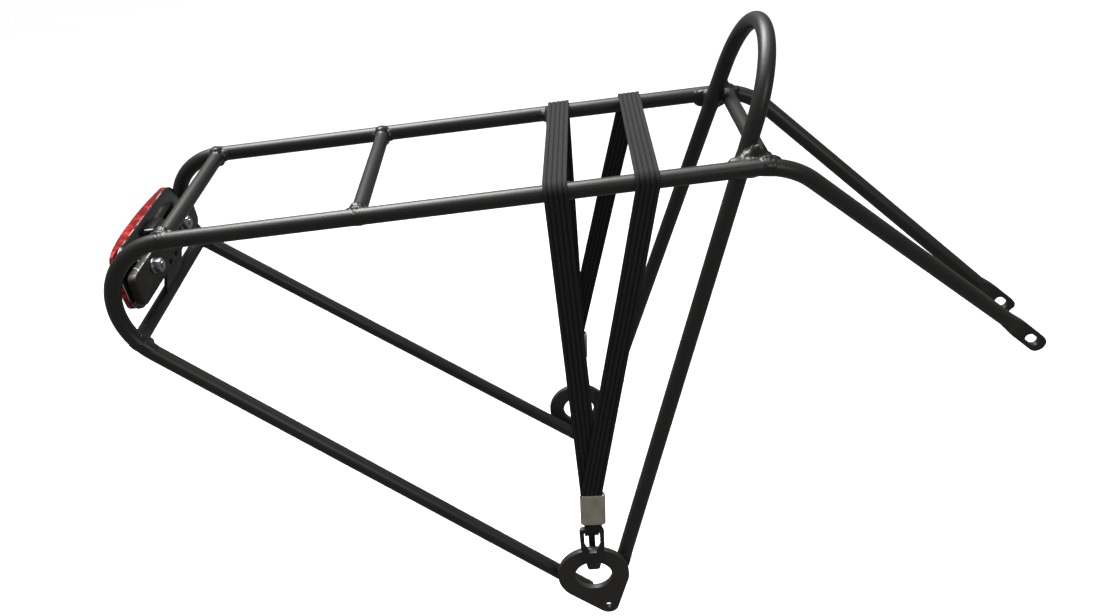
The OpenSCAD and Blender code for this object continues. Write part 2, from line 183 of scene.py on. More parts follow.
def close_ends(piece, sides=48):
    bpy.ops.object.mode_set(mode="EDIT")
    bpy.ops.mesh.select_all(action="SELECT")
    bpy.ops.mesh.remove_doubles(threshold=1e-6)
    bpy.ops.mesh.select_all(action="SELECT")
    bpy.ops.mesh.fill_holes(sides=sides + 2)
    bpy.ops.mesh.select_all(action="SELECT")
    bpy.ops.mesh.normals_make_consistent(inside=False)
    bpy.ops.object.mode_set(mode="OBJECT")


# The tab runs on in the arm's direction, square to the side; lengths are from where it flattens.
ARM = Vector((299 - 127.5, 0, 142 - 308)).normalized()
ACROSS_TAB = Vector((-ARM.z, 0, ARM.x))
FLAT_AT, TAB_END, SLOT_AT = 15 * MM, 38 * MM, 27 * MM
TAB_WIDE, TAB_THICK = 6.0 * MM, 2.1 * MM
SLOT_R, SLOT_HALF = 3.1 * MM, 2.5 * MM


def ease(t):
    t = min(max(t, 0), 1)
    return t * t * (3 - 2 * t)


def press_tab(piece, start):
    """Gives the last rings of the tube the pressed section: round, then flat, then a round tip."""
    for vertex in piece.data.vertices:
        rel = vertex.co - start
        along = rel.dot(ARM)
        if along < 0.1 * MM or vertex.co.x < start.x - 2 * MM:
            continue
        wide, thick = rel.dot(ACROSS_TAB), rel.y
        phi = math.atan2(thick, wide)
        t = ease(along / FLAT_AT)
        power = 2 + 5 * t
        half_wide = TUBE + (TAB_WIDE - TUBE) * t
        half_thick = TUBE + (TAB_THICK - TUBE) * t
        left = TAB_END - along
        if left < TAB_WIDE:
            half_wide *= max(0.0, 1 - (1 - left / TAB_WIDE) ** 2.5) ** 0.4
        cos, sin = math.cos(phi), math.sin(phi)
        w = math.copysign(abs(cos) ** (2 / power), cos) * half_wide
        v = math.copysign(abs(sin) ** (2 / power), sin) * half_thick
        vertex.co = start + ARM * along + ACROSS_TAB * w + Vector((0, v, 0))


def cut_slot(piece, centre):
    bpy.ops.object.select_all(action="DESELECT")
    bpy.ops.mesh.primitive_cylinder_add(
        vertices=40, radius=SLOT_R, depth=16 * MM, location=(0, 0, 0), rotation=(math.pi / 2, 0, 0))
    cutter = bpy.context.object
    bpy.ops.object.transform_apply(location=True, rotation=True, scale=True)
    for vertex in cutter.data.vertices:
        x, y, z = vertex.co
        shift = math.copysign(SLOT_HALF, x)
        vertex.co = centre + ARM * (x + shift) + ACROSS_TAB * z + Vector((0, y, 0))
    cutter.data.update()
    bpy.ops.object.mode_set(mode="EDIT")
    bpy.ops.mesh.select_all(action="SELECT")
    bpy.ops.mesh.normals_make_consistent(inside=False)
    bpy.ops.object.mode_set(mode="OBJECT")
    bpy.ops.object.select_all(action="DESELECT")
    piece.select_set(True)
    bpy.context.view_layer.objects.active = piece
    slot = piece.modifiers.new("slot", "BOOLEAN")
    slot.operation = "DIFFERENCE"
    slot.solver = "EXACT"
    slot.object = cutter
    bpy.ops.object.modifier_apply(modifier="slot")
    bpy.data.objects.remove(cutter)


REAR_CORNER = at(-338, 0, 308)
REAR_CORNER.y = rail_y(REAR_CORNER.x)
FRONT_CORNER = at(127.5, 0, 308)
FRONT_CORNER.y = rail_y(FRONT_CORNER.x)
STAY_END = at(-12.5, 84.5, 9)
TAB_START = at(299, 23.6, 142) - ARM * SLOT_AT


def sided(point, side):
    return Vector((point.x, point.y * side, point.z))


# The pressed length is drawn out in rings, which close up towards the round tip.
TAB_STEPS = [1.0] * 35 + [0.5] * 4 + [0.25] * 2 + [0.15] * 2 + [0.1, 0.06, 0.03, 0.01]
for side, word in SIDES:
    start = sided(TAB_START, side)
    path = [sided(p, side) for p in (STAY_END, REAR_CORNER, FRONT_CORNER, TAB_START)]
    tube = bent_tube(word + "_tube", path, [STAY_BEND, ARM_BEND], TUBE)
    bpy.ops.object.mode_set(mode="EDIT")
    for step in TAB_STEPS:
        bpy.ops.mesh.extrude_region_move(TRANSFORM_OT_translate={"value": ARM * step * MM})
    bpy.ops.object.mode_set(mode="OBJECT")
    press_tab(tube, start)
    close_ends(tube)
    cut_slot(tube, start + ARM * SLOT_AT)
    smooth(tube, 38)
    finish_piece(tube, FRAME_PAINT, "rack", "frame_paint", word + "_side_tube")


# ---- Hoop --------------------------------------------------------------------------------------
# The two front legs and the raised hoop are one tube, bent over at the top.
# It leans forward and is welded inside the rails.

LEG_END = at(13.5, 85.5, 37)
HOOP_LEAN, HOOP_BEND = math.radians(18.5), 47.5 * MM
LEG_AT_RAIL = at(104.5, 50, 308)
# The legs run on past the rails to where their lines would meet, over the hoop.
rise = LEG_AT_RAIL.y / ((LEG_END.y - LEG_AT_RAIL.y) / (LEG_AT_RAIL.z - LEG_END.z))
HOOP_PEAK = Vector((LEG_AT_RAIL.x + rise * math.tan(HOOP_LEAN), 0, LEG_AT_RAIL.z + rise))
hoop = bent_tube("hoop", [sided(LEG_END, -1), HOOP_PEAK, LEG_END], [HOOP_BEND], TUBE)
close_ends(hoop)
smooth(hoop)
finish_piece(hoop, FRAME_PAINT, "rack", "frame_paint", "hoop_tube")


# ---- Cross tubes -------------------------------------------------------------------------------
# Four thinner tubes join the rails and carry the load; a fifth joins the stays.
# They are cut to the side tubes' curve and welded all round.

CROSS = 4.6 * MM
CROSS_X = [(i * 116 - 233) * MM for i in range(4)]
STAY_RUN = (STAY_END - REAR_CORNER).normalized()
LOWER_CROSS = REAR_CORNER + STAY_RUN * 95.2 * MM
cross_names = ["rear_cross", "rear_middle_cross", "front_middle_cross", "front_cross"]
cross_ends = [Vector((x, rail_y(x), PLATFORM)) for x in CROSS_X] + [LOWER_CROSS]
for name, end in zip(cross_names + ["lower_cross"], cross_ends):
    cross = bent_tube(name, [sided(end, -1), end], [], CROSS)
    close_ends(cross)
    smooth(cross)
    finish_piece(cross, FRAME_PAINT, "rack", "frame_paint", name + "_tube")


# ---- Welds -------------------------------------------------------------------------------------
# Hand-laid fillet welds under the powder coat, with overlapping ripples round every joint.
# Each flows from one tube into the next, over filler laid where they meet.

WELD_PAINT = powder_coat("powder coat over weld", (0.013, 0.013, 0.0115), 0.33, 0.6)


def ripple(turns, angle):
    """The height of the filler's ripples, turns of them round a joint."""
    wave = (angle * turns / (2 * math.pi)) % 1.0
    return math.sin(math.pi * wave) ** 0.7


def stub(start, end, r_start, r_end):
    """A short taper of one tube at a joint, a little proud of it at the thick end."""
    run = end - start
    bpy.ops.mesh.primitive_cone_add(
        vertices=64, radius1=r_start, radius2=r_end, depth=run.length,
        location=(start + end) / 2, rotation=run.to_track_quat("Z", "Y").to_euler())
    return bpy.context.object


VOXEL, NECK_IN = 0.55 * MM, 0.75 * MM
BEAD_REACH, FADE_REACH, PITTING = 11 * MM, 24 * MM, 0.12 * MM


def melted_joint(name, tubes, lumps, bead, soften, ceiling=None, outside=None):
    """Melts short stubs of the tubes at a joint, and lumps of filler, into one flowing fillet.

    Each tube is (centre, way, radius, length before, length after, how far it stands proud).
    The bead's ripples go round its axis: (spot, axis, turns, depth).
    """
    bpy.ops.object.select_all(action="DESELECT")
    parts = []
    for centre, way, radius, before, after, proud in tubes:
        for length, sign in ((before, -1), (after, 1)):
            if length:
                end = centre + way * sign * length
                parts.append(stub(centre, end, radius + proud, radius - NECK_IN))
    for spot, size in lumps:
        bpy.ops.mesh.primitive_uv_sphere_add(segments=28, ring_count=18, radius=1, location=spot)
        ball = bpy.context.object
        ball.scale = size
        parts.append(ball)
    bpy.ops.object.select_all(action="DESELECT")
    for part in parts:
        part.select_set(True)
    bpy.context.view_layer.objects.active = parts[0]
    bpy.ops.object.join()
    piece = bpy.context.object
    piece.name = name
    bpy.ops.object.transform_apply(location=True, rotation=True, scale=True)
    melt = piece.modifiers.new("melt", "REMESH")
    melt.mode = "VOXEL"
    melt.voxel_size = VOXEL
    bpy.ops.object.modifier_apply(modifier="melt")
    flow = piece.modifiers.new("flow", "SMOOTH")
    flow.factor = 0.6
    flow.iterations = soften
    bpy.ops.object.modifier_apply(modifier="flow")
    middle = tubes[0][0]
    spot, axis, turns, depth = bead
    first = axis.orthogonal().normalized()
    second = axis.cross(first)
    normals = [v.normal.copy() for v in piece.data.vertices]
    for vertex in piece.data.vertices:
        p = vertex.co.copy()
        rel = p - spot
        flat = rel - axis * rel.dot(axis)
        phi = math.atan2(flat.dot(second), flat.dot(first))
        wobble = 0.5 * noise.noise(p * 260)
        ring = math.exp(-(rel.length / BEAD_REACH) ** 4)
        lift = depth * ring * (ripple(turns, phi + wobble + 60 * rel.dot(axis)) - 0.5)
        lift += PITTING * noise.noise(p * 420)
        fade = max(0.0, 1 - ((p - middle).length / FADE_REACH) ** 2)
        vertex.co = p + normals[vertex.index] * lift * fade
        if ceiling is not None and vertex.co.z > ceiling:
            vertex.co.z = ceiling
        if outside is not None and abs(vertex.co.y) > outside:
            vertex.co.y = math.copysign(outside, vertex.co.y)
    bpy.ops.object.mode_set(mode="EDIT")
    bpy.ops.mesh.select_all(action="SELECT")
    bpy.ops.mesh.normals_make_consistent(inside=False)
    bpy.ops.object.mode_set(mode="OBJECT")
    smooth(piece, 75)
    return piece


def filler(spot, *size):
    """A lump of filler: its middle, and its half sizes in millimetres."""
    return spot, [half * MM for half in size]


X_WAY, Y_WAY = Vector((1, 0, 0)), Vector((0, 1, 0))
SEAM_IN = 4.5 * MM
UNDER_BAND = 2
BAND_CEILING, BAND_OUTSIDE = 313.15 * MM, 5.2 * MM
OUT_OF_BEND = Vector((0.68, 0, 0.73)) * 1.1 * MM
PLATE_FACE, PLATE_INSIDE = 89.7 * MM, 89.95 * MM
welds = []
for side, word in SIDES:
    inward = Vector((0, -side, 0))
    for i, x in enumerate(CROSS_X):
        # The rails bend next to the end joints, so the stubs there are short.
        behind, ahead = 5 if i == 0 else 12, 5 if i == 3 else 12
        joint = Vector((x, side * rail_y(x), PLATFORM))
        seam = joint + inward * SEAM_IN
        tubes = [(joint, X_WAY, TUBE, behind * MM, ahead * MM, 0.2 * MM),
                 (joint, inward, CROSS, 0, 12.5 * MM, 2.0 * MM)]
        lumps = [filler(seam + Vector((s * 5.0 * MM, 0, 0)), 3.2, 2.8, 4.2) for s in (-1, 1)]
        lumps += [filler(seam + Vector((0, -side * 0.5 * MM, s * 4.6 * MM)), 3.8, 3.0, 2.4)
                  for s in (-1, 1)]
        banded = i == UNDER_BAND
        welds.append(melted_joint(
            f"weld_{word}_{i}", tubes, lumps, (seam, Y_WAY, 13, 0.4 * MM), 12,
            ceiling=BAND_CEILING if banded else None,
            outside=abs(joint.y) + BAND_OUTSIDE if banded else None))

    run = sided(STAY_RUN, side)
    joint = sided(LOWER_CROSS, side) + OUT_OF_BEND
    seam = joint + inward * SEAM_IN
    tubes = [(joint, run, TUBE, 4 * MM, 12 * MM, 0.2 * MM),
             (joint, inward, CROSS, 0, 12.5 * MM, 1.6 * MM)]
    lumps = [filler(seam + run * s * 5.0 * MM, 3.8, 3.2, 3.8) for s in (-1, 1)]
    welds.append(melted_joint(
        f"weld_{word}_stay", tubes, lumps, (seam, Y_WAY, 13, 0.45 * MM), 12))

    # The leg passes inside the rail, next to the front cross tube and the arm's bend.
    leg_run = sided((HOOP_PEAK - LEG_END).normalized(), side)
    leg_at = sided(LEG_AT_RAIL, side)
    rail_x = LEG_AT_RAIL.x + 3 * MM
    on_rail = Vector((rail_x, side * rail_y(rail_x), PLATFORM))
    tubes = [(on_rail, X_WAY, TUBE, 20 * MM, 6 * MM, 0.2 * MM),
             (on_rail + at(5, 0, -0.3), Vector((0.977, 0, -0.212)), TUBE, 0, 14 * MM, 0.25 * MM),
             (leg_at, leg_run, TUBE, 17 * MM, 21 * MM, 0.7 * MM),
             (Vector((CROSS_X[3], side * 57 * MM, PLATFORM)), inward, CROSS, 0, 14 * MM, 1.3 * MM)]
    lumps = [filler(leg_at + at(7.2, 6.5 * side, 6.2), 5.2, 3.0, 6.2),
             filler(leg_at + at(12, 8.2 * side, 2.0), 8.0, 3.0, 3.2),
             filler(leg_at + at(3, 5.6 * side, 4.0), 6.6, 3.2, 3.8),
             filler(leg_at + at(-5.5, 6.5 * side, 2.2), 5.4, 3.4, 3.6),
             filler(leg_at + at(9, 3.0 * side, 0.5), 5.0, 5.0, 3.6),
             filler(leg_at + at(-7, 7.5 * side, -3.6), 4.6, 3.0, 3.4),
             filler(leg_at + at(3, 6.4 * side, -5.6), 6.2, 3.2, 3.2)]
    bead = (leg_at + at(3, 6 * side, 3), leg_run, 12, 0.30 * MM)
    welds.append(melted_joint(f"weld_{word}_leg", tubes, lumps, bead, 64))

    # The stay and the leg end on the ring plate's inner face.
    for end, run, which in ((LEG_END, HOOP_PEAK - LEG_END, "foot"),
                            (STAY_END, REAR_CORNER - STAY_END, "heel")):
        run = sided(run, side).normalized()
        base = sided(end, side) + run * 2 * MM
        face = Vector((base.x, side * PLATE_FACE, base.z))
        lumps = [filler(face - run * k * 3 * MM, 4.4, 1.3, 4.4) for k in (0, 1, 2)]
        welds.append(melted_joint(
            f"weld_{word}_{which}", [(base, run, TUBE, 1 * MM, 10 * MM, 0.3 * MM)], lumps,
            (face, Y_WAY, 12, 0.35 * MM), 10, outside=PLATE_INSIDE))
for weld in welds:
    finish_piece(weld, WELD_PAINT, "rack", "weld_paint", "weld_beads")


# ---- Ring plates and bracket -------------------------------------------------------------------
# 4 mm steel plates, cut with a large ring and a bolt corner, and the pressed reflector bracket.
# Their edges are softly rounded by the coating.


def rounded_copy(name, node, width, segments=3):
    """A merged copy of a CAD node with its sharp edges rounded."""
    bpy.ops.object.select_all(action="DESELECT")
    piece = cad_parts[node].copy()
    piece.data = piece.data.copy()
    piece.name = name
    for key in list(piece.keys()):
        if key.startswith("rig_"):
            del piece[key]
    piece.parent = None
    piece.hide_render = piece.hide_viewport = False
    bpy.context.scene.collection.objects.link(piece)
    piece.select_set(True)
    bpy.context.view_layer.objects.active = piece
    bpy.ops.object.mode_set(mode="EDIT")
    bpy.ops.mesh.select_all(action="SELECT")
    bpy.ops.mesh.remove_doubles(threshold=0.01 * MM)
    bpy.ops.mesh.dissolve_limited(angle_limit=math.radians(0.5))
    bpy.ops.object.mode_set(mode="OBJECT")
    bevel = piece.modifiers.new("edge", "BEVEL")
    bevel.width = width
    bevel.segments = segments
    bevel.limit_method = "ANGLE"
    bevel.angle_limit = math.radians(35)
    bpy.ops.object.modifier_apply(modifier="edge")
    smooth(piece, 30)
    return piece


PLATE_PAINT = powder_coat("powder coat on plate", (0.0240, 0.0225, 0.0185), 0.46, 0.8)
for word in ("right", "left"):
    plate = rounded_copy(word + "_plate", word + "_ring_plate", 0.45 * MM)
    finish_piece(plate, PLATE_PAINT, "rack", "frame_paint", word + "_ring_plate")

BRACKET_PAINT = powder_coat("olive black powder coat", (0.0150, 0.0132, 0.0082), 0.44, 0.5)
bracket = rounded_copy("bracket", "reflector_bracket", 0.3 * MM, 2)
finish_piece(bracket, BRACKET_PAINT, "rack", "frame_paint", "reflector_bracket")

# Painted highlight: a thin pale strip along the sheet's upper edge, round to the near end, stands
# in for the light caught on the edge's bend.
PAINTED_EDGE_HIGHLIGHT, shader = new_finish("painted highlight on bracket edge")
shader.inputs["Roughness"].default_value = 0.4
tint(shader, mottle(shader, on_piece(shader), 260, 4),
     (0.38, (0.05, 0.048, 0.04)), (0.55, (0.50, 0.48, 0.42)))
EDGE_X, EDGE_Y, EDGE_Z = -260.6 * MM, 50 * MM, 282.9 * MM
EDGE_R, EDGE_CURL = 0.42 * MM, 5 * MM
bpy.ops.object.select_all(action="DESELECT")
bpy.ops.mesh.primitive_circle_add(
    vertices=16, radius=EDGE_R, location=(EDGE_X, EDGE_Y, EDGE_Z), rotation=(math.pi / 2, 0, 0))
edge = bpy.context.object
edge.name = "bracket_edge_painted_highlight"
bpy.ops.object.transform_apply(location=True, rotation=True, scale=True)
bpy.ops.object.mode_set(mode="EDIT")
bpy.ops.mesh.select_all(action="SELECT")
bpy.ops.mesh.extrude_region_move(TRANSFORM_OT_translate={"value": (0, -2 * EDGE_Y, 0)})
bpy.ops.mesh.spin(steps=10, angle=math.radians(80), axis=(0, 0, -1),
                  center=(EDGE_X - EDGE_CURL, -EDGE_Y, EDGE_Z))
bpy.ops.object.mode_set(mode="OBJECT")
close_ends(edge, 16)
smooth(edge)
finish_piece(edge, PAINTED_EDGE_HIGHLIGHT, "rack", "zinc_steel")


# ---- Reflector ---------------------------------------------------------------------------------
# A glossy black moulded shell holds a crowned red lens with corner prisms behind its skin.
# Two zinc-plated studs, washers and nuts hold it to the bracket.

SHELL, shader = new_finish("glossy black moulding")
shader.inputs["Base Color"].default_value = (0.004, 0.004, 0.004, 1)
shader.inputs["Coat Weight"].default_value = 0.3
shader.inputs["Coat Roughness"].default_value = 0.05
wear = mottle(shader, on_piece(shader), 160, 6)
vary_gloss(shader, wear, 0.10, 0.26)
emboss(shader, wear, 0.25, 0.0002)

shell = rounded_copy("reflector_shell", "reflector_back", 0.7 * MM, 3)
finish_piece(shell, SHELL, "rack", "reflector_shell", "reflector_back")

LENS, shader = new_finish("red prismatic lens with painted glints")
shader.inputs["Roughness"].default_value = 0.24
shader.inputs["Specular IOR Level"].default_value = 0.18
shader.inputs["Coat Weight"].default_value = 0.05
shader.inputs["Coat Roughness"].default_value = 0.12
shader.inputs["Subsurface Weight"].default_value = 0.12
shader.inputs["Subsurface Radius"].default_value = (0.006, 0.001, 0.001)
nodes, links = LENS.node_tree.nodes, LENS.node_tree.links
place = on_piece(shader)
prism = nodes.new("ShaderNodeTexVoronoi")
prism.inputs["Scale"].default_value = 430
prism.inputs["Randomness"].default_value = 0.15
prism.distance = "EUCLIDEAN"
links.new(place, prism.inputs["Vector"])
# Painted glints: the lens's own prism cells are lightened one by one, up to a pale red, for the
# light they throw back.
painted_prism_glints = nodes.new("ShaderNodeMath")
painted_prism_glints.operation = "MULTIPLY_ADD"
links.new(prism.outputs["Color"], painted_prism_glints.inputs[0])
painted_prism_glints.inputs[1].default_value = 0.45
links.new(mottle(shader, place, 60, 5), painted_prism_glints.inputs[2])
tint(shader, painted_prism_glints.outputs["Value"], (0.42, (0.075, 0.001, 0.0015)),
     (0.74, (0.17, 0.0018, 0.0028)), (0.98, (0.55, 0.022, 0.020)))
emboss(shader, prism.outputs["Distance"], 0.5, 0.0006)

LENS_X, LENS_Z = -269.8 * MM, 275.5 * MM
LENS_HALF_W, LENS_HALF_H, LENS_CORNER = 55.5 * MM, 21 * MM, 14 * MM
LENS_RIM, LENS_BULGE, LENS_LIFT = 2.2 * MM, 15.4 * MM, 3.0 * MM


def outline_reach(y, z):
    """How far the lens's rounded outline lies from its middle, along the direction (y, z)."""
    corner_y, corner_z = LENS_HALF_W - LENS_CORNER, LENS_HALF_H - LENS_CORNER
    low, high = 0.0, 100 * MM
    for _ in range(30):
        mid = (low + high) / 2
        over_y, over_z = max(abs(y) * mid - corner_y, 0), max(abs(z) * mid - corner_z, 0)
        if math.hypot(over_y, over_z) > LENS_CORNER:
            high = mid
        else:
            low = mid
    return low


bpy.ops.object.select_all(action="DESELECT")
bpy.ops.mesh.primitive_grid_add(x_subdivisions=96, y_subdivisions=56, size=2)
lens = bpy.context.object
lens.name = "lens"
for vertex in lens.data.vertices:
    u, v = vertex.co.x, vertex.co.y
    r = max(abs(u), abs(v))
    y = z = 0.0
    if r > 1e-6:
        way = Vector((u * LENS_HALF_W, v * LENS_HALF_H)).normalized()
        reach = outline_reach(way.x, way.y) * r
        y, z = way.x * reach, way.y * reach
    ends = max(0.0, 1 - abs(y / LENS_HALF_W) ** 2.6) ** 0.68
    sides = max(0.0, 1 - abs(z / LENS_HALF_H) ** 2.4) ** 0.62
    dome = (LENS_BULGE - LENS_RIM) * min(ends, 1) * sides
    z += LENS_LIFT * (dome / LENS_BULGE)
    vertex.co = (LENS_X - LENS_RIM - dome, y, LENS_Z + z)
bpy.ops.object.mode_set(mode="EDIT")
bpy.ops.mesh.select_all(action="DESELECT")
bpy.ops.mesh.select_non_manifold()
bpy.ops.mesh.extrude_region_move(TRANSFORM_OT_translate={"value": (LENS_RIM, 0, 0)})
bpy.ops.mesh.edge_face_add()
bpy.ops.mesh.select_all(action="SELECT")
bpy.ops.mesh.normals_make_consistent(inside=False)
bpy.ops.object.mode_set(mode="OBJECT")
smooth(lens, 50)
finish_piece(lens, LENS, "rack", "reflector_red", "reflector_lens")

# Painted highlight: a fine pale bead between the lens and the shell stands in for the light caught
# on the shell's rim.
PAINTED_RIM_HIGHLIGHT, shader = new_finish("painted highlight on shell rim")
shader.inputs["Roughness"].default_value = 0.22
tint(shader, mottle(shader, on_piece(shader), 190, 4),
     (0.42, (0.012, 0.012, 0.012)), (0.60, (0.42, 0.41, 0.38)))
BEAD_SIZE, BEAD_IN, BEAD_BACK = 4.2 * MM, 0.25 * MM, 0.2 * MM
bpy.ops.object.select_all(action="DESELECT")
bpy.ops.mesh.primitive_torus_add(
    major_radius=1, minor_radius=0.1, major_segments=192, minor_segments=8,
    rotation=(0, math.pi / 2, 0))
bead = bpy.context.object
bead.name = "shell_rim_painted_highlight"
bpy.ops.object.transform_apply(location=True, rotation=True, scale=True)
for vertex in bead.data.vertices:
    x, y, z = vertex.co
    spread = math.hypot(y, z)
    way = Vector((y / spread * LENS_HALF_W, z / spread * LENS_HALF_H)).normalized()
    reach = outline_reach(way.x, way.y) - BEAD_IN + (spread - 1) * BEAD_SIZE
    vertex.co = (LENS_X + BEAD_BACK + x * BEAD_SIZE, way.x * reach, LENS_Z + way.y * reach)
smooth(bead)
finish_piece(bead, PAINTED_RIM_HIGHLIGHT, "rack", "reflector_shell")

ZINC, shader = new_finish("bright zinc plate")
shader.inputs["Metallic"].default_value = 1.0
plating = mottle(shader, on_piece(shader), 700, 4)
tint(shader, plating, (0.0, (0.30, 0.31, 0.33)), (1.0, (0.60, 0.62, 0.64)))
vary_gloss(shader, plating, 0.16, 0.36)

BRACKET_X, STUD_Y, STUD_Z = -260 * MM, 29.5 * MM, 275.5 * MM
WASHER_R, WASHER_T = 4.9 * MM, 1.0 * MM
NUT_CORNER, NUT_TOP = 4.62 * MM, 6.0 * MM
STUD_R, STUD_ROOT, STUD_HEAD = 2.5 * MM, 2.15 * MM, 3.9 * MM
PITCH, THREAD_FROM, THREAD_TO, STUD_TIP = 0.4 * MM, 4.0 * MM, 6.6 * MM, 7.0 * MM


def lathe(name, rings, centre, sides, chamfer=0.0):
    """A round or hexagonal piece on an axis along X: rings are (distance along X, radius)."""
    bpy.ops.object.select_all(action="DESELECT")
    bpy.ops.mesh.primitive_circle_add(
        vertices=sides, radius=rings[0][1], location=(0, 0, 0), rotation=(0, math.pi / 2, 0))
    piece = bpy.context.object
    piece.name = name
    bpy.ops.object.transform_apply(location=True, rotation=True, scale=True)
    bpy.ops.object.mode_set(mode="EDIT")
    bpy.ops.mesh.select_all(action="SELECT")
    bpy.ops.transform.translate(value=(rings[0][0], 0, 0))
    for (x0, r0), (x1, r1) in zip(rings, rings[1:]):
        bpy.ops.mesh.extrude_region_move(TRANSFORM_OT_translate={"value": (x1 - x0, 0, 0)})
        scale = r1 / r0
        bpy.ops.transform.resize(value=(1, scale, scale), center_override=(x1, 0, 0))
    bpy.ops.mesh.select_all(action="SELECT")
    bpy.ops.mesh.fill_holes(sides=sides + 1)
    bpy.ops.mesh.select_all(action="SELECT")
    bpy.ops.mesh.normals_make_consistent(inside=False)
    bpy.ops.transform.translate(value=centre)
    bpy.ops.object.mode_set(mode="OBJECT")
    if chamfer:
        edge = piece.modifiers.new("edge", "BEVEL")
        edge.width = chamfer
        edge.segments = 2
        edge.limit_method = "ANGLE"
        bpy.ops.object.modifier_apply(modifier="edge")
    smooth(piece, 30)
    return piece


for side, word in SIDES:
    centre = Vector((BRACKET_X, side * STUD_Y, STUD_Z))
    washer = lathe(f"washer_{word}", [(0, WASHER_R), (WASHER_T, WASHER_R)], centre, 48, 0.2 * MM)
    finish_piece(washer, ZINC, "rack", "zinc_steel", "reflector_washers")
    nut = lathe(f"nut_{word}", [(WASHER_T, NUT_CORNER), (NUT_TOP, NUT_CORNER)], centre, 6,
                0.45 * MM)
    finish_piece(nut, ZINC, "rack", "zinc_steel", "reflector_nuts")
    rings = [(-11.9 * MM, STUD_HEAD), (-9.9 * MM, STUD_HEAD), (-9.85 * MM, STUD_R),
             (THREAD_FROM, STUD_R)]
    x = THREAD_FROM
    while x < THREAD_TO:
        rings += [(x + PITCH / 2, STUD_ROOT), (x + PITCH, STUD_R)]
        x += PITCH
    rings.append((STUD_TIP, 1.9 * MM))
    stud = lathe(f"stud_{word}", rings, centre, 32)
    finish_piece(stud, ZINC, "rack", "zinc_steel", "reflector_studs")


# ---- Elastic bands -----------------------------------------------------------------------------
# Woven elastic webbing, 15 mm wide, with five ribs: two bands over the platform that come
# together in a V on each side. The tops ride with their bands.

WEBBING, shader = new_finish("ribbed elastic webbing")
shader.inputs["Roughness"].default_value = 0.85
shader.inputs["Specular IOR Level"].default_value = 0.25
shader.inputs["Sheen Weight"].default_value = 0.02
shader.inputs["Sheen Roughness"].default_value = 0.45
nodes, links = WEBBING.node_tree.nodes, WEBBING.node_tree.links
place = nodes.new("ShaderNodeUVMap")
place.uv_map = "UVMap"
rows = nodes.new("ShaderNodeTexWave")
rows.bands_direction = "Y"
rows.inputs["Distortion"].default_value = 1.2
rows.inputs["Detail"].default_value = 1
cords = nodes.new("ShaderNodeTexWave")
cords.bands_direction = "X"
cords.inputs["Distortion"].default_value = 0.6
for yarn in (rows, cords):
    yarn.wave_type = "BANDS"
    yarn.inputs["Scale"].default_value = 420
    links.new(place.outputs["UV"], yarn.inputs["Vector"])
weave = nodes.new("ShaderNodeMath")
weave.operation = "MULTIPLY"
links.new(rows.outputs["Fac"], weave.inputs[0])
links.new(cords.outputs["Fac"], weave.inputs[1])
fuzzy = nodes.new("ShaderNodeMath")
fuzzy.operation = "MULTIPLY_ADD"
links.new(mottle(shader, place.outputs["UV"], 900, 4), fuzzy.inputs[0])
fuzzy.inputs[1].default_value = 0.7
links.new(weave.outputs["Value"], fuzzy.inputs[2])
# Painted shade: the grooves between the ribs are darkened towards black for the shade that falls in
# them; the weave's mottle is the webbing's own.
depth = nodes.new("ShaderNodeAttribute")
depth.attribute_name = "painted_groove_shade"
painted_groove_shade_and_weave = nodes.new("ShaderNodeMath")
painted_groove_shade_and_weave.operation = "MULTIPLY"
links.new(depth.outputs["Fac"], painted_groove_shade_and_weave.inputs[0])
links.new(fuzzy.outputs["Value"], painted_groove_shade_and_weave.inputs[1])
tint(shader, painted_groove_shade_and_weave.outputs["Value"],
     (0.0, (0.0012, 0.0012, 0.0012)), (1.0, (0.025, 0.026, 0.025)))
emboss(shader, fuzzy.outputs["Value"], 0.5, 0.0003)

STRAP_W, STRAP_T = 14.6 * MM, 1.8 * MM
WRAP = TUBE + 0.3 * MM + STRAP_T / 2
RIBS, GROOVE_DEEP, SELVEDGE = 5, 0.5 * MM, 0.06
FERRULE_TOP, FERRULE_X, FERRULE_Y = 107.5 * MM, -3 * MM, 94.4 * MM
SPLIT = 190 * MM
LAYER = STRAP_T / 2 + 0.15 * MM


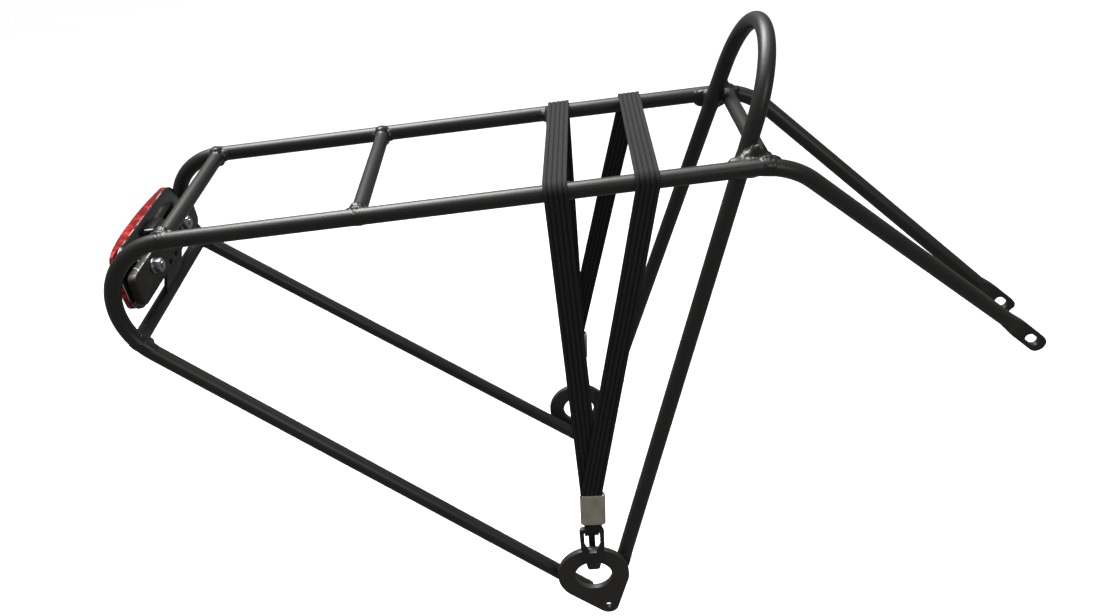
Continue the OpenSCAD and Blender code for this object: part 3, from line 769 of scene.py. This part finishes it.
def webbing(name, stations, widths=None):
    """A ribbed strip: stations are (middle, outward normal), and its width lies along X."""
    across = 40
    along = len(stations) - 1
    bpy.ops.object.select_all(action="DESELECT")
    bpy.ops.mesh.primitive_grid_add(x_subdivisions=across, y_subdivisions=along, size=2)
    piece = bpy.context.object
    piece.name = name
    distance = [0.0]
    for (a, _), (b, _) in zip(stations, stations[1:]):
        distance.append(distance[-1] + (b - a).length)
    uv = piece.data.uv_layers.active
    place_of = {}
    for vertex in piece.data.vertices:
        u = (vertex.co.x + 1) / 2
        i = round((vertex.co.y + 1) / 2 * along)
        middle, normal = stations[i]
        width = widths[i] if widths else STRAP_W
        place_of[vertex.index] = (u, distance[i])
        vertex.co = middle + Vector(((u - 0.5) * width, 0, 0))
    for loop in piece.data.loops:
        u, d = place_of[loop.vertex_index]
        uv.data[loop.index].uv = (u * STRAP_W, d)
    solid = piece.modifiers.new("thickness", "SOLIDIFY")
    solid.thickness = STRAP_T
    solid.offset = 0
    bpy.ops.object.modifier_apply(modifier="thickness")
    painted_groove_shade = piece.data.attributes.new("painted_groove_shade", "FLOAT", "POINT")
    uv = piece.data.uv_layers.active
    across_of = {}
    for loop in piece.data.loops:
        across_of[loop.vertex_index] = uv.data[loop.index].uv[0] / STRAP_W
    normals = [v.normal.copy() for v in piece.data.vertices]
    for vertex in piece.data.vertices:
        u = across_of.get(vertex.index, 0.5)
        rib = min(1.0, abs(math.sin(math.pi * RIBS * u)) * 1.7)
        if not SELVEDGE < u < 1 - SELVEDGE:
            rib = min(1.0, min(u, 1 - u) * 22)
        # This attribute carries only painted shade for the grooves, sharpened past the rib's own
        # depth.
        painted_groove_shade.data[vertex.index].value = max(0.0, rib) ** 1.6
        vertex.co -= normals[vertex.index] * GROOVE_DEEP * (1 - rib)
    smooth(piece, 70)
    return piece


def leave_angle(rail):
    """The slope at which a band leaves its rail for the ferrule, out from straight down."""
    dy, dz = FERRULE_Y - rail, PLATFORM - FERRULE_TOP
    return math.atan2(dy, dz) - math.asin(WRAP / math.hypot(dy, dz))


def run_x(x, z):
    """Where a band has got to along the rack at height z, on its way to the ferrule."""
    return x + (FERRULE_X - x) * (PLATFORM - z) / (PLATFORM - FERRULE_TOP)


def drop_point(x, side, z, shift):
    """A band's middle and outward normal at height z, moved out by shift."""
    rail = rail_y(x)
    angle = leave_angle(rail)
    y = (rail + WRAP * math.cos(angle)
         + (PLATFORM + WRAP * math.sin(angle) - z) * math.tan(angle) + shift)
    return Vector((run_x(x, z), side * y, z)), Vector((0, side * math.cos(angle), math.sin(angle)))


def leave_z(x):
    """The height at which a band leaves its rail."""
    return PLATFORM + WRAP * math.sin(leave_angle(rail_y(x)))


BANDS = {"rear": (-3 * MM, 4 * MM), "front": (48.5 * MM, 51 * MM)}
for band, (x_right, x_left) in BANDS.items():
    stations = []
    for side, x in ((-1, x_right), (1, x_left)):
        rail = rail_y(x)
        angle = leave_angle(rail)
        arc = []
        for k in range(13):
            a = angle + (math.pi / 2 - angle) * k / 12
            normal = Vector((0, side * math.cos(a), math.sin(a)))
            arc.append((Vector((x, side * rail, PLATFORM)) + normal * WRAP, normal))
        stations.append(arc if side < 0 else arc[::-1])
    (start, up), (end, _) = stations[0][-1], stations[1][0]
    flat = [(start.lerp(end, k / 24), up) for k in range(1, 24)]
    top = webbing(band + "_band_over", stations[0] + flat + stations[1])
    finish_piece(top, WEBBING, band + "_band", "webbing", band + "_band_top")
    for side, word, x in ((-1, "right", x_right), (1, "left", x_left)):
        sign = -1 if band == "rear" else 1
        high = leave_z(x)
        levels = [high + (SPLIT - high) * k / 28 for k in range(29)]
        drop = []
        for z in levels:
            t = (high - z) / (high - SPLIT)
            shift = sign * LAYER * (ease(t * 1.6) if band == "front" else t)
            if band == "front":
                shift += 0.6 * MM * math.sin(math.pi * min(1, t)) ** 2
            drop.append(drop_point(x, side, z, shift))
        strip = webbing(f"{band}_band_{word}_side", drop)
        strip.data.materials.clear()
        strip.data.materials.append(WEBBING)
        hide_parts(f"{band}_band_{word}")
        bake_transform(strip)

# Below the split the two bands lie on each other, the front band outside, down to the ferrule.
for i, (side, word) in enumerate(SIDES):
    for band, sign in (("rear", -1), ("front", 1)):
        x = BANDS[band][i]
        low = FERRULE_TOP - 1.2 * MM
        levels = [SPLIT + (low - SPLIT) * k / 22 for k in range(23)]
        lower = [drop_point(x, side, z, sign * LAYER) for z in levels]
        strip = webbing(f"{band}_end_{word}", lower)
        strip.data.materials.clear()
        strip.data.materials.append(WEBBING)
        if band == "rear":
            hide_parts(word + "_strap_end")
        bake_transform(strip)


# ---- Ferrules ----------------------------------------------------------------------------------
# A flat band of nickel-plated steel is crimped round both layers of webbing on each side.
# Its corners are round and its ends open, with the webbing passing through.

NICKEL, shader = new_finish("brushed nickel")
shader.inputs["Metallic"].default_value = 1.0
nodes, links = NICKEL.node_tree.nodes, NICKEL.node_tree.links
place = on_piece(shader)
stretch = nodes.new("ShaderNodeMapping")
stretch.inputs["Scale"].default_value = (1.0, 1.0, 0.06)
links.new(place, stretch.inputs["Vector"])
brush = mottle(shader, stretch.outputs["Vector"], 2600, 5)
tint(shader, mottle(shader, place, 120, 5),
     (0.3, (0.50, 0.47, 0.38)), (0.72, (0.74, 0.70, 0.58)))
vary_gloss(shader, brush, 0.28, 0.50)
emboss(shader, brush, 0.35, 0.0001)

FERRULE_H, FERRULE_W, FERRULE_T = 24 * MM, 16.4 * MM, 6.6 * MM
FERRULE_CORNER, FERRULE_WALL, FERRULE_LEAN = 2.6 * MM, 0.9 * MM, math.radians(4)
for side, word in SIDES:
    bpy.ops.object.select_all(action="DESELECT")
    bpy.ops.mesh.primitive_cube_add(size=1)
    ferrule = bpy.context.object
    ferrule.name = word + "_crimp"
    ferrule.scale = (FERRULE_W, FERRULE_T, FERRULE_H)
    bpy.ops.object.transform_apply(location=True, rotation=True, scale=True)
    bpy.ops.object.mode_set(mode="EDIT")
    bpy.ops.mesh.select_all(action="DESELECT")
    bpy.ops.mesh.select_mode(type="EDGE")
    bpy.ops.object.mode_set(mode="OBJECT")
    for edge in ferrule.data.edges:
        a, b = (ferrule.data.vertices[k].co for k in edge.vertices)
        edge.select = abs(a.z - b.z) > FERRULE_H / 2
    bpy.ops.object.mode_set(mode="EDIT")
    bpy.ops.mesh.bevel(offset=FERRULE_CORNER, segments=8, affect="EDGES")
    bpy.ops.mesh.select_mode(type="FACE")
    bpy.ops.mesh.select_all(action="DESELECT")
    bpy.ops.object.mode_set(mode="OBJECT")
    for face in ferrule.data.polygons:
        face.select = abs(face.normal.z) > 0.9
    bpy.ops.object.mode_set(mode="EDIT")
    bpy.ops.mesh.inset(thickness=FERRULE_WALL)
    bpy.ops.mesh.extrude_region_shrink_fatten(TRANSFORM_OT_shrink_fatten={"value": -3 * MM})
    bpy.ops.object.mode_set(mode="OBJECT")
    rim = ferrule.modifiers.new("edge", "BEVEL")
    rim.width = 0.25 * MM
    rim.segments = 2
    rim.limit_method = "ANGLE"
    rim.angle_limit = math.radians(50)
    bpy.ops.object.modifier_apply(modifier="edge")
    lean, tilt = FERRULE_LEAN, side * leave_angle(rail_y(0)) / 2
    middle = Vector((FERRULE_X, side * FERRULE_Y, FERRULE_TOP - FERRULE_H / 2))
    for vertex in ferrule.data.vertices:
        x, y, z = vertex.co
        x, z = x * math.cos(lean) + z * math.sin(lean), z * math.cos(lean) - x * math.sin(lean)
        y, z = y * math.cos(tilt) - z * math.sin(tilt), z * math.cos(tilt) + y * math.sin(tilt)
        vertex.co = middle + Vector((x, y, z))
    smooth(ferrule, 35)
    finish_piece(ferrule, NICKEL, word + "_strap_hook", "nickel_steel", word + "_ferrule")


# ---- Hooks and their loops ---------------------------------------------------------------------
# Moulded black hooks, whose feet pass through the plates' rings. The webbing narrows below
# the ferrule and turns round each hook's bar.

PLASTIC, shader = new_finish("matte black moulding")
place = on_piece(shader)
grain = mottle(shader, place, 1800, 3)
tint(shader, mottle(shader, place, 120),
     (0.0, (0.0055, 0.0055, 0.0055)), (1.0, (0.009, 0.009, 0.0085)))
vary_gloss(shader, grain, 0.38, 0.55)
emboss(shader, grain, 0.3, 0.00008)

HOOK_X, HOOK_Y, HOOK_T, BAR_Z = -5.6 * MM, 94.8 * MM, 3.4 * MM, 76 * MM
BAR_MIDDLE, LOOP_R = HOOK_Y + HOOK_T / 2, HOOK_T / 2 + 0.25 * MM + STRAP_T / 2
NECK_Z, LOOP_Z, LOOP_DROP, LOOP_W = 86 * MM, BAR_Z + 1.5 * MM, 2.6 * MM, 9.8 * MM


def neck_station(side, t, face):
    """A layer of the loop between the ferrule, at t = 0, and the hook's bar, at t = 1."""
    apart = LAYER + (LOOP_R - LAYER) * ease(t * 1.3)
    x = FERRULE_X + (HOOK_X - FERRULE_X) * ease(t)
    y = FERRULE_Y + (BAR_MIDDLE - FERRULE_Y) * ease(t) + face * apart
    width = STRAP_W + (LOOP_W - STRAP_W) * ease(t * 1.15)
    return Vector((x, side * y, NECK_Z + (LOOP_Z - NECK_Z) * t)), width


def bar_station(side, angle):
    """The loop's turn under the bar."""
    y = BAR_MIDDLE + LOOP_R * math.cos(angle)
    return Vector((HOOK_X, side * y, LOOP_Z - LOOP_DROP * math.sin(angle))), LOOP_W


for side, word in SIDES:
    hook = rounded_copy(word + "_clip", word + "_hook", 0.55 * MM, 3)
    finish_piece(hook, PLASTIC, word + "_strap_hook", "hook_plastic", word + "_hook")
    course = [neck_station(side, k / 8, 1) for k in range(9)]
    course += [bar_station(side, math.pi * k / 12) for k in range(1, 12)]
    course += [neck_station(side, 1 - k / 8, -1) for k in range(9)]
    outward = Vector((0, side, 0))
    loop = webbing(word + "_loop", [(spot, outward) for spot, _ in course],
                   [width for _, width in course])
    finish_piece(loop, WEBBING, word + "_strap_hook", "webbing", word + "_strap_loop")


# ---- Floor, light and camera -------------------------------------------------------------------
# A pale studio floor well below the rack, a broad soft light overhead and a weak one in front.

bpy.ops.object.select_all(action="DESELECT")
FLOOR_SIZE, FLOOR_Z = 80, -0.30
bpy.ops.mesh.primitive_plane_add(size=FLOOR_SIZE, location=(0, 0, FLOOR_Z))
floor = bpy.context.object
floor.name = "studio_floor"
PALE, shader = new_finish("pale studio floor")
shader.inputs["Base Color"].default_value = (0.93, 0.93, 0.93, 1)
shader.inputs["Roughness"].default_value = 0.9
floor.data.materials.append(PALE)
floor.visible_glossy = False
floor.visible_diffuse = False

world = bpy.data.worlds.new("studio")
bpy.context.scene.world = world
world.use_nodes = True
surround = world.node_tree.nodes["Background"]
surround.inputs["Color"].default_value = (1, 1, 1, 1)
surround.inputs["Strength"].default_value = 0.20

for name, spot, aim, size, power in (
        ("overhead", (-0.35, 0.55, 1.45), (-0.05, 0, 0.25), 0.9, 33),
        ("front", (0.9, -1.3, 1.1), (0, 0, 0.25), 0.7, 5)):
    data = bpy.data.lights.new(name, "AREA")
    data.shape = "DISK"
    data.size = size
    data.energy = power
    lamp = bpy.data.objects.new(name, data)
    bpy.context.scene.collection.objects.link(lamp)
    lamp.location = spot
    lamp.rotation_euler = (Vector(aim) - Vector(spot)).to_track_quat("-Z", "Y").to_euler()
sky = bpy.data.lights.new("even light", "SUN")
sky.energy = 2.9
sky.angle = math.radians(70)
lamp = bpy.data.objects.new("even light", sky)
bpy.context.scene.collection.objects.link(lamp)
lamp.rotation_euler = (math.radians(-16), math.radians(-8), 0)

lens_data = bpy.data.cameras.new("camera")
camera = bpy.data.objects.new("camera", lens_data)
bpy.context.scene.collection.objects.link(camera)
camera.location = (0.00527, -0.54841, 0.53730)
camera.rotation_euler = [math.radians(a) for a in (57.738, 7.593, 0.094)]
lens_data.sensor_width = 36
lens_data.lens = 31.16
lens_data.shift_x = 0.0294
lens_data.shift_y = 0.0022
lens_data.clip_start = 0.01
bpy.context.scene.camera = camera
bpy.context.scene.view_settings.view_transform = "Standard"
